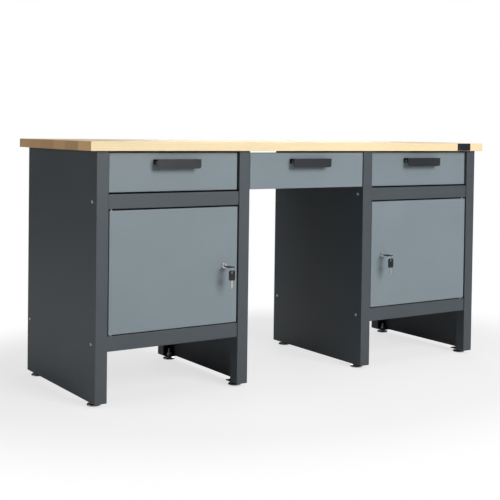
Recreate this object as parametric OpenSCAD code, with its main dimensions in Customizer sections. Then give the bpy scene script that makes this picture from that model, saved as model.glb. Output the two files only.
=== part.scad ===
// Workbench with two cabinets, three drawers and two lockable doors.
// Millimetres, +Z up, -Y is the front. The origin is on the floor under the middle of the whole
// bench, keys included. The right cabinet is the mirror image of the left one.

/* [Worktop] */
// Length of the worktop
top_length = 1700; // [1660:10:2400]
// Depth of the worktop, front to back
top_depth = 600; // [480:10:800]
// Thickness of the worktop
top_thickness = 30; // [20:1:50]
// Height of the worktop's upper face above the floor
bench_height = 840; // [835:5:1010]
// How far the worktop passes the cabinets at each end
side_overhang = 27; // [5:1:60]
// How far the worktop passes the cabinets at the front
front_overhang = 15; // [5:1:40]
// How far the worktop passes the cabinets at the back
back_overhang = 20; // [5:1:60]
// Width of the blank plate on the worktop's front edge
plate_width = 68; // [40:1:90]
// Distance from the worktop's right end to the blank plate
plate_inset = 68; // [40:1:200]
// Thickness of the blank plate
plate_thickness = 1.2; // [0.8:0.1:2]

/* [Cabinets] */
// Width of each cabinet
cabinet_width = 572; // [480:1:700]
// Thickness of the folded steel sheet
sheet = 1.5; // [1:0.1:2]
// Width of the folded post at each upright edge
post_width = 42; // [36:1:52]
// Depth of the fold that closes each post
post_return = 44; // [38:1:60]
// Height of the front rail between the drawer and the door
upper_rail_height = 47; // [36:1:60]
// Height of the front rail under the door
lower_rail_height = 49; // [44:1:60]
// Depth of both front rails
rail_depth = 40; // [36:1:44]
// Distance of the front rails behind the posts
rail_recess = 3; // [1:0.5:6]
// Depth of the folds under the cabinet floor
floor_drop = 40; // [34:1:48]
// Height of the shelf's upper face above the floor
shelf_level = 400; // [300:5:540]
// Depth of the folds around the shelf
shelf_drop = 22; // [15:1:40]
// Diameter of the panel screws
screw_d = 6; // [4:0.5:7]
// Diameter of the panel screws' heads
screw_head_d = 11; // [9:0.5:14]
// Distance of the side screws behind the front
side_screw_inset = 30; // [22:1:34]

/* [Drawers] */
// Height of the drawer fronts
front_height = 126; // [118:1:140]
// Gap between the worktop and the drawer fronts
front_gap = 6; // [3:0.5:10]
// Gap beside the drawer fronts and doors
side_gap = 4; // [3:0.5:6]
// Gap beside the middle drawer's front
middle_gap = 2; // [1:0.5:4]
// Distance of the cabinet drawers' fronts behind the posts
front_recess = 9; // [2:0.5:12]
// Distance of the middle drawer's front behind the posts
middle_recess = 2; // [0:0.5:12]
// Thickness of the drawer fronts
front_thickness = 15; // [10:1:15]
// Thickness of the drawer sheet
drawer_sheet = 1.2; // [0.8:0.1:1.5]
// Height of the drawer boxes
box_height = 100; // [75:1:104]
// Thickness of each drawer slide
slide_thickness = 12.7; // [11:0.1:16]
// Height of each drawer slide
slide_height = 45; // [35:1:50]
// Running gap between a slide's two halves
slide_gap = 0.4; // [0.3:0.05:0.8]

/* [Handles] */
// Length of the drawer handles
handle_length = 164; // [120:1:240]
// Height of the handles' front plate
handle_height = 31; // [24:1:40]
// Distance that the handles stand out
handle_reach = 27; // [22:1:40]
// Thickness of the handle sheet
handle_sheet = 2; // [1.5:0.1:3]
// Distance from the front's top edge to the handle
handle_drop = 21; // [10:1:40]

/* [Doors] */
// Height of the doors
door_height = 394; // [380:1:400]
// Thickness of the doors
door_thickness = 18; // [16:1:19]
// Distance of the doors behind the posts
door_recess = 3; // [1:0.5:4]
// Gap above and below the upper rail
rail_gap = 5; // [3:0.5:8]
// Gap under the doors
door_gap = 3; // [2:0.5:6]
// Diameter of the hinge pins
hinge_pin_d = 6; // [4:0.5:7]
// Distance of the hinge pins from the doors' outer edges
hinge_inset_x = 10; // [8:0.5:12]
// Distance of the hinge pins behind the doors' faces
hinge_inset_y = 8; // [6:0.5:8]

/* [Locks and keys] */
// Distance of the locks from the doors' free edges
lock_inset = 52; // [40:1:70]
// Height of the locks above the doors' bottom edges
lock_rise = 195; // [120:1:260]
// Diameter of the lock's front ring
rosette_d = 18; // [16:0.5:24]
// Diameter of the turning plug
plug_d = 11; // [9:0.5:12]
// Length of the cam from the lock's axis to its tip
cam_length = 66; // [64:1:72]
// Width of the cam
cam_width = 14; // [10:1:18]
// Distance that the key stands out of the door
key_reach = 52; // [46:1:60]
// Width of the key's bow
bow_width = 24; // [18:1:28]
// Length of the key's bow
bow_length = 34; // [26:1:40]
// Radius of the key ring, to the middle of its wire
ring_radius = 8; // [7.5:0.5:9]
// Thickness of the key ring's wire
ring_wire = 1.5; // [1:0.1:1.6]

/* [Feet] */
// Height that the feet show under the cabinets
foot_show = 12; // [10:0.5:25]
// Diameter of the feet
foot_d = 45; // [35:1:50]
// Thickness of the feet's pads
foot_pad = 7; // [5:0.5:8]
// Diameter of the feet's threaded stems
stem_d = 10; // [8:1:12]
// Distance of the feet inside the cabinets' sides
foot_inset_x = 20; // [18:1:24]
// Distance of the feet from the cabinets' fronts and backs
foot_inset_y = 49; // [40:1:60]

/* [Hidden] */
$fn = 64;

// Colours
anthracite = [0.30, 0.33, 0.34];
side_grey = [0.17, 0.18, 0.20];
front_grey = [0.50, 0.55, 0.58];
handle_grey = [0.20, 0.22, 0.24];
timber = [0.93, 0.83, 0.68];
zinc = [0.75, 0.75, 0.74];
bow_black = [0.07, 0.07, 0.08];

// Clearances
cut = 1;                      // how far a cut passes the face that it opens
hole_clear = 0.05;            // radial clearance of a pin or screw in its hole
body_gap = 0.3;               // gap between pieces that move past each other

// Key ring: the rim of the bow that the ring hangs on, and where the ring hangs from it
bow_thickness = 3;
bow_rim = 2.2;
bow_slot_length = 8.4;
bow_slot_width = 6;
blade_width = 6.8;
blade_thickness = 2;
blade_in_plug = 15;
key_slot_clear = 0.1;
rim_corner = norm([bow_rim / 2, bow_thickness / 2]);
ring_hang = ring_radius - ring_wire / 2 - rim_corner - body_gap / 2;
spare_seat = 0.2;

// Outline of the bench on the floor. cabinet_y is the plane of the posts' front faces.
cabinet_depth = top_depth - front_overhang - back_overhang;
rim_y = door_recess - key_reach + bow_rim / 2;
front_reach = ring_radius + ring_wire / 2 - rim_y;
back_reach = cabinet_depth + back_overhang;
cabinet_y = (front_reach - back_reach) / 2;
cabinet_x = side_overhang - top_length / 2;
knee_width = top_length - 2 * (side_overhang + cabinet_width);

// Levels
under_top = bench_height - top_thickness;
panel_height = under_top - foot_show;
front_top = under_top - front_gap;
front_bottom = front_top - front_height;
upper_rail_top = front_bottom - rail_gap;
upper_rail_bottom = upper_rail_top - upper_rail_height;
door_top = upper_rail_bottom - rail_gap;
door_bottom = door_top - door_height;
lower_rail_top = door_bottom - door_gap;
lower_rail_bottom = lower_rail_top - lower_rail_height;
upper_screw_z = (upper_rail_top + upper_rail_bottom) / 2;
lower_screw_z = (lower_rail_top + lower_rail_bottom) / 2;

// Inside of a cabinet
opening_width = cabinet_width - 2 * post_width;
opening_end = cabinet_width - post_width;
front_width = opening_width - 2 * side_gap;
rear_screw_inset = 25;
rear_screw_y = cabinet_depth - rear_screw_inset;
foot_plate = 3;
foot_plate_margin = 24;
foot_plate_length = foot_inset_y + foot_plate_margin;
back_margin = 2;
floor_front = door_recess + door_thickness + 5;

// Drawers. The boxes start behind their fronts.
cabinet_box_y = front_recess + front_thickness;
middle_box_y = middle_recess + front_thickness;
box_lift = 8;
front_lip = 28;
box_bottom = front_bottom + box_lift;
slide_level = box_bottom + box_height / 2;
slide_sheet = 1.2;
slide_lip = 9;
slide_front = cabinet_box_y + 2;
slide_rear = 10;
slide_length = cabinet_depth - sheet - slide_rear - slide_front;
box_rear_room = 25;
box_rear = cabinet_depth - box_rear_room;
box_width = opening_width - 2 * slide_thickness;
middle_box_width = knee_width - 2 * slide_thickness;
runner_height = slide_height - 2 * (slide_sheet + slide_gap);

// Handles
tab_width = 20;
tab_height = 17;
handle_screw_d = 4;
handle_screw_head = 8;

// Doors, hinges and locks
hinge_x = post_width + side_gap + hinge_inset_x;
hinge_y = door_recess + hinge_inset_y;
hinge_engage = 8;
hinge_washer_d = 10;
hinge_head = 1.5;
lock_x = opening_end - side_gap - lock_inset;
lock_z = door_bottom + lock_rise;
barrel_d = 16;
rosette_proud = 2;
cam_y = door_recess + door_thickness + 0.5;
cam_thickness = 2;
cam_stud_d = 8;
cam_post_gap = lock_inset + side_gap;
cam_corner = norm([cam_length, cam_width / 2]);
cam_slot_up = sqrt(pow(cam_corner, 2) - pow(cam_post_gap, 2)) + 3;
cam_slot_down = cam_width / 2 + 3;

// Screws
head_height = 3;
worktop_screw_depth = 18;
worktop_screw_rows = 4;
back_screw_rows = 3;
back_screw_margin = 28;
back_screw_length = 12;
side_screw_length = post_width + 8;
clip_length = 12;
clip_height = 3;
clip_peg_d = 5;
clip_inset = 34;

// ---- helpers ----

// Places its children in the left cabinet, with x from its outer side and y from the posts' front
module in_left() {
    translate([cabinet_x, cabinet_y, 0]) children();
}

// The same for the right cabinet, mirrored
module in_right() {
    mirror([1, 0, 0]) in_left() children();
}

// Places its children in the middle, with x from the middle and y from the posts' front
module in_middle() {
    translate([0, cabinet_y, 0]) children();
}

// Both edges of a cabinet: children drawn at the left edge, and again mirrored at the right edge
module both_edges() {
    children();
    translate([cabinet_width, 0, 0]) mirror([1, 0, 0]) children();
}

// A cylinder along +Y from y = 0
module rod_y(d, length) {
    rotate([-90, 0, 0]) cylinder(d = d, h = length);
}

// A cylinder along +X from x = 0
module rod_x(d, length) {
    rotate([0, 90, 0]) cylinder(d = d, h = length);
}

// A pan-head screw: head's underside at z = 0, shank along -Z
module pan_screw(d, head_d, length) {
    translate([0, 0, -length]) cylinder(d = d, h = length);
    difference() {
        cylinder(d1 = head_d, d2 = head_d * 0.7, h = head_height);
        for (turn = [0, 90]) {
            rotate([0, 0, turn]) translate([-head_d / 4, -0.6, head_height - 1.2])
                cube([head_d / 2, 1.2, 1.2 + cut]);
        }
    }
}

// A flat rectangle with four round corners
module round_rect(width, length, r) {
    for (x = [r, width - r]) {
        for (y = [r, length - r]) {
            translate([x, y]) circle(r);
        }
    }
    translate([r, 0]) square([width - 2 * r, length]);
    translate([0, r]) square([width, length - 2 * r]);
}

// ---- worktop ----

// Places of the worktop screws in a cabinet
module at_worktop_screws() {
    row = (cabinet_depth - 2 * post_return) / (worktop_screw_rows - 1);
    for (i = [0 : worktop_screw_rows - 1]) {
        both_edges() translate([post_width / 2, post_return + i * row, under_top]) children();
    }
}

module worktop() {
    color(timber) difference() {
        translate([-top_length / 2, cabinet_y - front_overhang, under_top])
            cube([top_length, top_depth, top_thickness]);
        for (side = [0, 1]) {
            mirror([side, 0, 0]) in_left() at_worktop_screws()
                translate([0, 0, -cut])
                    cylinder(d = screw_d + 2 * hole_clear, h = worktop_screw_depth + 1 + cut);
        }
    }
}

module edge_plate() {
    color(side_grey)
        translate([top_length / 2 - plate_inset - plate_width,
                   cabinet_y - front_overhang - plate_thickness, under_top + 1])
            cube([plate_width, plate_thickness, top_thickness - 2]);
}

module worktop_screws() {
    color(zinc) for (side = [0, 1]) {
        mirror([side, 0, 0]) in_left() at_worktop_screws()
            translate([0, 0, -sheet]) mirror([0, 0, 1])
                pan_screw(screw_d, screw_head_d, worktop_screw_depth + sheet);
    }
}

// ---- cabinets ----

// Places on a side panel, seen from the panel's outer face, that take a side screw
module at_side_screws() {
    for (p = [[side_screw_inset, upper_screw_z], [side_screw_inset, lower_screw_z],
              [rear_screw_y, lower_screw_z]]) {
        translate([0, p[0], p[1]]) children();
    }
}

// Places of the back screws along one upright edge
module at_back_screws() {
    low = lower_rail_bottom + back_screw_margin;
    step = (under_top - back_screw_margin - low) / (back_screw_rows - 1);
    for (i = [0 : back_screw_rows - 1]) {
        translate([post_width / 2, cabinet_depth, low + i * step]) children();
    }
}

// Places of the shelf clips on one upright edge, on the face of the fold
module at_clips() {
    for (y = [clip_inset, cabinet_depth - clip_inset]) {
        translate([post_width, y, shelf_level - shelf_drop - clip_height]) children();
    }
}

// Places of the two feet under one side panel
module at_feet() {
    for (y = [foot_inset_y, cabinet_depth - foot_inset_y]) {
        translate([foot_inset_x, y, 0]) children();
    }
}

// One side panel folded from sheet, with its outer face at x = 0
module side_panel(cam_slot) {
    difference() {
        translate([0, 0, foot_show]) union() {
            cube([sheet, cabinet_depth, panel_height]);
            for (end = [0, 1]) {
                translate([0, end * cabinet_depth, 0]) mirror([0, end, 0]) {
                    cube([post_width, sheet, panel_height]);
                    translate([post_width - sheet, 0, 0])
                        cube([sheet, post_return, panel_height]);
                    cube([post_width, foot_plate_length, foot_plate]);
                }
            }
            translate([0, 0, panel_height - sheet]) cube([post_width, cabinet_depth, sheet]);
        }
        at_side_screws() translate([-cut, 0, 0])
            rod_x(screw_d + 2 * hole_clear, post_width + 2 * cut);
        at_back_screws() translate([0, -sheet - cut, 0])
            rod_y(screw_d + 2 * hole_clear, sheet + 2 * cut);
        at_clips() translate([-sheet - cut, 0, clip_height / 2])
            rod_x(clip_peg_d + 2 * hole_clear, sheet + 2 * cut);
        at_feet() translate([0, 0, foot_show - cut])
            cylinder(d = stem_d + 1, h = foot_plate + 2 * cut);
        at_panel_top_holes();
        if (cam_slot) {
            translate([post_width - sheet - cut, cam_y - 1.5, lock_z - cam_slot_down])
                cube([sheet + 2 * cut, cam_thickness + 3, cam_slot_down + cam_slot_up]);
        }
    }
}

// Holes for the worktop screws in a side panel's top fold
module at_panel_top_holes() {
    at_worktop_screws() translate([0, 0, -sheet - cut])
        cylinder(d = screw_d + 2 * hole_clear, h = sheet + 2 * cut);
}

// The outer side carries the hinges, and the inner side takes the lock's cam
module outer_side() {
    color(side_grey) side_panel(false);
}

module inner_side() {
    color(side_grey) translate([cabinet_width, 0, 0]) mirror([1, 0, 0]) side_panel(true);
}

module back_panel() {
    color(side_grey) difference() {
        translate([back_margin, cabinet_depth, lower_rail_bottom])
            cube([cabinet_width - 2 * back_margin, drawer_sheet,
                  under_top - back_margin - lower_rail_bottom]);
        both_edges() at_back_screws() translate([0, -cut, 0])
            rod_y(screw_d + 2 * hole_clear, drawer_sheet + 2 * cut);
    }
}

// A front rail of C section between the posts. pin_z is the underside of the fold that holds a
// hinge pin.
module front_rail(bottom, height, pin_z) {
    color(anthracite) difference() {
        translate([post_width, rail_recess, bottom]) difference() {
            cube([opening_width, rail_depth, height]);
            translate([sheet, sheet, sheet])
                cube([opening_width - 2 * sheet, rail_depth, height - 2 * sheet]);
        }
        both_edges() translate([post_width - cut, side_screw_inset, bottom + height / 2])
            rod_x(screw_d + 2 * hole_clear, sheet + 2 * cut);
        translate([hinge_x, hinge_y, pin_z - cut])
            cylinder(d = hinge_pin_d + 2 * hole_clear, h = sheet + 2 * cut);
    }
}

module upper_rail() {
    front_rail(upper_rail_bottom, upper_rail_height, upper_rail_bottom);
}

module lower_rail() {
    front_rail(lower_rail_bottom, lower_rail_height, lower_rail_top - sheet);
}

// The cabinet's bottom sheet, notched round the posts and folded down at its edges
module floor_pan() {
    inner_depth = cabinet_depth - sheet - floor_front;
    wing_depth = cabinet_depth - 2 * post_return;
    color(side_grey) difference() {
        translate([0, 0, lower_rail_top]) union() {
            translate([post_width, floor_front, 0]) cube([opening_width, inner_depth, sheet]);
            translate([sheet, post_return, 0])
                cube([cabinet_width - 2 * sheet, wing_depth, sheet]);
            translate([post_width, cabinet_depth - 2 * sheet, -floor_drop])
                cube([opening_width, sheet, floor_drop]);
            both_edges() {
                translate([sheet, post_return, -floor_drop])
                    cube([sheet, wing_depth, floor_drop]);
                translate([post_width, cabinet_depth - post_return, -floor_drop])
                    cube([sheet, post_return - sheet, floor_drop]);
            }
        }
        both_edges() translate([post_width - cut, rear_screw_y, lower_screw_z])
            rod_x(screw_d + 2 * hole_clear, sheet + 2 * cut);
    }
}

// The loose shelf: a tray turned upside down, resting on four clips
module shelf() {
    shelf_side = 1.5;
    shelf_front = door_recess + door_thickness + 7;
    width = opening_width - 2 * shelf_side;
    depth = cabinet_depth - 5 - shelf_front;
    color(side_grey) translate([post_width + shelf_side, shelf_front, shelf_level - shelf_drop])
        difference() {
            cube([width, depth, shelf_drop]);
            translate([sheet, sheet, -cut])
                cube([width - 2 * sheet, depth - 2 * sheet, shelf_drop - sheet + cut]);
        }
}

module shelf_clip() {
    translate([0, -clip_length / 2, 0]) cube([clip_length, clip_length, clip_height]);
    translate([-sheet - 2, 0, clip_height / 2]) rod_x(clip_peg_d, sheet + 2 + cut);
}

module shelf_clips() {
    color(zinc) for (side = [0, 1]) {
        mirror([side, 0, 0]) in_left() both_edges() at_clips() shelf_clip();
    }
}

module panel_screws() {
    color(zinc) for (side = [0, 1]) {
        mirror([side, 0, 0]) in_left() both_edges() {
            at_side_screws() rotate([0, -90, 0])
                pan_screw(screw_d, screw_head_d, side_screw_length);
            at_back_screws() translate([0, drawer_sheet, 0]) rotate([-90, 0, 0])
                pan_screw(screw_d, screw_head_d, back_screw_length);
        }
    }
}

// ---- feet ----

module foot() {
    stem_top = foot_show + foot_plate + 25;
    collar = foot_show - body_gap;
    color(zinc) {
        rotate_extrude() polygon([[0, 0], [foot_d / 2 - 1, 0], [foot_d / 2, 1],
            [foot_d / 2, foot_pad - 2], [foot_d / 2 - 2, foot_pad],
            [stem_d / 2 + 5, foot_pad], [stem_d / 2 + 3, collar], [stem_d / 2, collar],
            [stem_d / 2, stem_top - 1], [stem_d / 2 - 1, stem_top], [0, stem_top]]);
    }
}

// Feet are numbered from the left, front then back under each side panel
module foot_at(number) {
    right = number > 4;
    pair = right ? 8 - number : number - 1;
    inner = pair > 1;
    back = number % 2 == 0;
    x = cabinet_x + (inner ? cabinet_width - foot_inset_x : foot_inset_x);
    y = cabinet_y + (back ? cabinet_depth - foot_inset_y : foot_inset_y);
    translate([right ? -x : x, y, 0]) foot();
}

module foot_nuts() {
    nut_height = 8;
    color(zinc) for (side = [0, 1]) {
        mirror([side, 0, 0]) in_left() both_edges() at_feet()
            translate([0, 0, foot_show + foot_plate]) difference() {
                cylinder(d = 1.8 * stem_d, h = nut_height, $fn = 6);
                translate([0, 0, -cut])
                    cylinder(d = stem_d + 2 * hole_clear, h = nut_height + 2 * cut);
            }
    }
}

// ---- drawers ----

// A drawer box, open at the top, with x from its middle and y from its front
module drawer_box(width, front_y) {
    depth = box_rear - front_y;
    color(side_grey) translate([-width / 2, front_y, box_bottom]) difference() {
        cube([width, depth, box_height]);
        translate([drawer_sheet, drawer_sheet, drawer_sheet])
            cube([width - 2 * drawer_sheet, depth - 2 * drawer_sheet, box_height]);
    }
}

// Distance between a handle's two screws, and their height
function screw_pitch() = handle_length - tab_width;
function screw_level() = front_top - handle_drop - tab_height / 2 - 1;

// A drawer front folded to a shallow tray, with a lip all round its back that meets the box.
// Its x runs from its middle, and its face is at front_y.
module drawer_front(width, front_y) {
    color(front_grey) translate([-width / 2, front_y, front_bottom]) difference() {
        cube([width, front_thickness, front_height]);
        translate([drawer_sheet, drawer_sheet, drawer_sheet])
            cube([width - 2 * drawer_sheet, front_thickness - 2 * drawer_sheet,
                  front_height - 2 * drawer_sheet]);
        translate([front_lip, drawer_sheet + cut, front_lip])
            cube([width - 2 * front_lip, front_thickness, front_height - 2 * front_lip]);
        for (x = [-1, 1]) {
            translate([width / 2 + x * screw_pitch() / 2, -cut, screw_level() - front_bottom])
                rod_y(handle_screw_d + 2 * hole_clear, drawer_sheet + 2 * cut);
        }
    }
}

// A pull bent from sheet: a web along the top, a grip plate in front, a screwed tab at each end
module handle(front_y) {
    low_r = 9;
    top_r = 3;
    top = front_top - handle_drop;
    half = handle_length / 2;
    color(handle_grey) translate([0, front_y, 0]) difference() {
        union() {
            translate([-half, -handle_reach, top - handle_sheet])
                cube([handle_length, handle_reach, handle_sheet]);
            translate([0, handle_sheet - handle_reach, 0]) rotate([90, 0, 0])
                linear_extrude(handle_sheet) {
                    translate([-half, top - handle_height + low_r])
                        square([handle_length, handle_height - low_r]);
                    for (x = [low_r - half, half - low_r]) {
                        translate([x, top - handle_height + low_r]) circle(low_r);
                    }
                    translate([low_r - half, top - handle_height])
                        square([handle_length - 2 * low_r, handle_height - top_r]);
                }
            for (x = [-half, half - tab_width]) {
                translate([x, -handle_sheet, top - tab_height])
                    cube([tab_width, handle_sheet, tab_height]);
            }
        }
        for (x = [-1, 1]) {
            translate([x * screw_pitch() / 2, -handle_sheet - cut, screw_level()])
                rod_y(handle_screw_d + 2 * hole_clear, handle_sheet + 2 * cut);
        }
    }
}

module handle_screws(front_y) {
    color(zinc) for (x = [-1, 1]) {
        translate([x * screw_pitch() / 2, front_y - handle_sheet, screw_level()])
            rotate([90, 0, 0]) pan_screw(handle_screw_d, handle_screw_head, 10);
    }
}

// One half of a slide fixed to a face at x = 0, opening towards +x
module slide_rail() {
    color(zinc) translate([0, slide_front, slide_level - slide_height / 2]) difference() {
        cube([slide_lip, slide_length, slide_height]);
        translate([slide_sheet, -cut, slide_sheet])
            cube([slide_lip, slide_length + 2 * cut, slide_height - 2 * slide_sheet]);
    }
}

// The half of a slide that travels with the drawer, with the fixed half's face at x = 0
module slide_runner() {
    length = box_rear - slide_front;
    near = slide_sheet + slide_gap;
    color(zinc) translate([near, slide_front, slide_level - runner_height / 2]) difference() {
        cube([slide_thickness - near, length, runner_height]);
        translate([slide_sheet, -cut, slide_sheet])
            cube([slide_thickness, length + 2 * cut, runner_height - 2 * slide_sheet]);
    }
}

// Children at the inner faces of both posts of the left cabinet
module at_posts() {
    for (end = [0, 1]) {
        translate([end * cabinet_width, 0, 0]) mirror([end, 0, 0])
            translate([post_width, 0, 0]) children();
    }
}

// Children at the facing sides of the two cabinets
module at_knee_sides() {
    for (end = [0, 1]) {
        mirror([end, 0, 0]) translate([-knee_width / 2, 0, 0]) children();
    }
}

module slide_rails() {
    in_left() at_posts() slide_rail();
    in_right() at_posts() slide_rail();
    in_middle() at_knee_sides() slide_rail();
}

// Middle line of the left cabinet
module at_cabinet_middle() {
    translate([cabinet_width / 2, 0, 0]) children();
}

// ---- doors ----

module door() {
    color(front_grey) difference() {
        translate([post_width + side_gap, door_recess, door_bottom]) difference() {
            cube([front_width, door_thickness, door_height]);
            translate([drawer_sheet, drawer_sheet, drawer_sheet])
                cube([front_width - 2 * drawer_sheet, door_thickness,
                      door_height - 2 * drawer_sheet]);
        }
        translate([hinge_x, hinge_y, door_bottom - cut])
            cylinder(d = hinge_pin_d + 2 * hole_clear, h = door_height + 2 * cut);
        translate([lock_x, door_recess - cut, lock_z])
            rod_y(barrel_d + 2 * hole_clear, drawer_sheet + 2 * cut);
    }
}

// Upper pins hang in the upper rail, and lower pins stand in the lower rail under a washer
module hinge_pins() {
    upper_seat = upper_rail_bottom + sheet;
    lower_seat = lower_rail_top - sheet;
    color(zinc) for (side = [0, 1]) {
        mirror([side, 0, 0]) in_left() translate([hinge_x, hinge_y, 0]) {
            translate([0, 0, door_top - hinge_engage])
                cylinder(d = hinge_pin_d, h = upper_seat - door_top + hinge_engage);
            translate([0, 0, upper_seat]) cylinder(d = hinge_washer_d, h = hinge_head);
            translate([0, 0, lower_seat])
                cylinder(d = hinge_pin_d, h = door_bottom + hinge_engage - lower_seat);
            translate([0, 0, lower_seat - hinge_head])
                cylinder(d = hinge_washer_d, h = hinge_head);
            translate([0, 0, lower_rail_top])
                cylinder(d = hinge_washer_d, h = door_gap - body_gap);
        }
    }
}

module lock_body() {
    nut_y = door_recess + drawer_sheet;
    color(zinc) translate([lock_x, 0, lock_z]) difference() {
        union() {
            translate([0, door_recess - rosette_proud, 0]) rod_y(rosette_d, rosette_proud);
            translate([0, door_recess, 0]) rod_y(barrel_d, door_thickness);
            translate([0, nut_y, 0]) rotate([-90, 0, 0])
                cylinder(d = barrel_d + 7, h = 4, $fn = 6);
        }
        translate([0, door_recess - rosette_proud - cut, 0])
            rod_y(plug_d + 2 * hole_clear, door_thickness + rosette_proud + 2 * cut);
    }
}

module lock_plug() {
    plug_front = door_recess - rosette_proud - 0.5;
    stud_end = cam_y + cam_thickness + 1;
    color(zinc) translate([lock_x, plug_front, lock_z]) difference() {
        union() {
            rod_y(plug_d, cam_y - plug_front);
            rod_y(cam_stud_d, stud_end - plug_front);
        }
        translate([-blade_width / 2 - key_slot_clear, -cut, -blade_thickness / 2 - key_slot_clear])
            cube([blade_width + 2 * key_slot_clear, blade_in_plug + 1 + cut,
                  blade_thickness + 2 * key_slot_clear]);
    }
}

// The cam points up while the door is free, and turns into the inner post to lock it
module lock_cam() {
    color(zinc) translate([lock_x, cam_y + cam_thickness, lock_z]) rotate([90, 0, 0])
        linear_extrude(cam_thickness) difference() {
            union() {
                circle(d = cam_width);
                translate([-cam_width / 2, 0]) square([cam_width, cam_length]);
            }
            circle(d = cam_stud_d + 2 * hole_clear);
        }
}

// A key lying flat, its bow's outer edge at y = 0 and its blade along +Y
module key(blade_length) {
    shoulder = 5;
    difference() {
        union() {
            translate([-bow_width / 2, 0, -bow_thickness / 2]) linear_extrude(bow_thickness)
                round_rect(bow_width, bow_length, 5);
            translate([-shoulder, bow_length - cut, -blade_thickness / 2])
                cube([2 * shoulder, 4 + cut, blade_thickness]);
            translate([-blade_width / 2, bow_length, -blade_thickness / 2])
                cube([blade_width, blade_length, blade_thickness]);
        }
        translate([-bow_slot_width / 2, bow_rim, -bow_thickness]) linear_extrude(2 * bow_thickness)
            round_rect(bow_slot_width, bow_slot_length, 2);
    }
}

module lock_key() {
    front = door_recess - key_reach;
    plug_front = door_recess - rosette_proud - 0.5;
    color(bow_black) translate([lock_x, front, lock_z])
        key(plug_front + blade_in_plug - front - bow_length);
}

module key_ring() {
    color(zinc) translate([lock_x, rim_y, lock_z - ring_hang]) rotate([0, 90, 0])
        rotate_extrude() translate([ring_radius, 0]) circle(d = ring_wire, $fn = 24);
}

module spare_key() {
    wire_top = lock_z - ring_hang - ring_radius + ring_wire / 2;
    top = wire_top + bow_rim + spare_seat;
    color(bow_black) translate([lock_x, rim_y, top]) rotate([-90, 0, 0]) key(27);
}

// ---- assembly ----

worktop();
edge_plate();
in_left() outer_side();  // left_outer_side
in_left() inner_side();  // left_inner_side
in_right() inner_side();  // right_inner_side
in_right() outer_side();  // right_outer_side
in_left() back_panel();  // left_back
in_right() back_panel();  // right_back
in_left() upper_rail();  // left_upper_rail
in_right() upper_rail();  // right_upper_rail
in_left() lower_rail();  // left_lower_rail
in_right() lower_rail();  // right_lower_rail
in_left() floor_pan();  // left_floor
in_right() floor_pan();  // right_floor
in_left() shelf();  // left_shelf
in_right() shelf();  // right_shelf
shelf_clips();
worktop_screws();
panel_screws();
slide_rails();
foot_nuts();
hinge_pins();
in_left() at_cabinet_middle() drawer_box(box_width, cabinet_box_y);  // left_drawer_box
in_middle() drawer_box(middle_box_width, middle_box_y);  // middle_drawer_box
in_right() at_cabinet_middle() drawer_box(box_width, cabinet_box_y);  // right_drawer_box
in_left() at_cabinet_middle() drawer_front(front_width, front_recess);  // left_drawer_front
in_middle() drawer_front(knee_width - 2 * middle_gap, middle_recess);  // middle_drawer_front
in_right() at_cabinet_middle() drawer_front(front_width, front_recess);  // right_drawer_front
in_left() at_cabinet_middle() handle(front_recess);  // left_handle
in_middle() handle(middle_recess);  // middle_handle
in_right() at_cabinet_middle() handle(front_recess);  // right_handle
in_left() at_cabinet_middle() handle_screws(front_recess);  // left_handle_screws
in_middle() handle_screws(middle_recess);  // middle_handle_screws
in_right() at_cabinet_middle() handle_screws(front_recess);  // right_handle_screws
in_left() at_posts() slide_runner();  // left_drawer_runners
in_middle() at_knee_sides() slide_runner();  // middle_drawer_runners
in_right() at_posts() slide_runner();  // right_drawer_runners
in_left() door();  // left_door
in_right() door();  // right_door
in_left() lock_body();  // left_lock_body
in_right() lock_body();  // right_lock_body
in_left() lock_plug();  // left_lock_plug
in_right() lock_plug();  // right_lock_plug
in_left() lock_cam();  // left_lock_cam
in_right() lock_cam();  // right_lock_cam
in_left() lock_key();  // left_key
in_right() lock_key();  // right_key
in_left() key_ring();  // left_key_ring
in_right() key_ring();  // right_key_ring
in_left() spare_key();  // left_spare_key
in_right() spare_key();  // right_spare_key
for (number = [1 : 8]) {
    foot_at(number);
}
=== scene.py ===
import math

import bmesh
import bpy
import numpy as np
from bpy.props import (BoolProperty, FloatProperty, FloatVectorProperty, IntProperty,
                       PointerProperty)
from mathutils import Matrix, Vector


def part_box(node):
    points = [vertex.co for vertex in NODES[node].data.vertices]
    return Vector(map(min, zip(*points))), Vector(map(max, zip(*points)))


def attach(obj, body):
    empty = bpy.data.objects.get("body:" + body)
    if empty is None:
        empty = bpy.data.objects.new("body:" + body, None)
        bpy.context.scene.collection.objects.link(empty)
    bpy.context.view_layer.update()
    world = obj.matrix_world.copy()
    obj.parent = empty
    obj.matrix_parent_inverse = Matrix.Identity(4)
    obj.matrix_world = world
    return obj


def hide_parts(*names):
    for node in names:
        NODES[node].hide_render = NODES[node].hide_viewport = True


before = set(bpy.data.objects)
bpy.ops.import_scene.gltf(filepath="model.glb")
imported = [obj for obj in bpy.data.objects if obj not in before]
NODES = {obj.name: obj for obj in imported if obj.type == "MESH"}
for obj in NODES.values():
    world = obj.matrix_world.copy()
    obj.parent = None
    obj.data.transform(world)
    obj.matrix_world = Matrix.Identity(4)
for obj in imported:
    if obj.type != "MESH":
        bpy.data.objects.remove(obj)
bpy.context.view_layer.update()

bl_info = {
    "name": "Workbench with drawers",
    "version": (1, 0, 0),
    "blender": (4, 5, 0),
    "location": "3D View > Sidebar > Workbench",
    "description": "Builds a steel workbench with a glued timber top, three drawers and two doors",
    "category": "Add Mesh",
}

MM = 0.001
SIDES = ("left", "right")
DRAWERS = ("left", "middle", "right")
BROAD = 4 * MM


def linear(red, green, blue):
    """Linear colour for a screen colour given as three numbers to 255."""
    return tuple(pow((c / 255 + 0.055) / 1.055, 2.4) for c in (red, green, blue))


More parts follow.
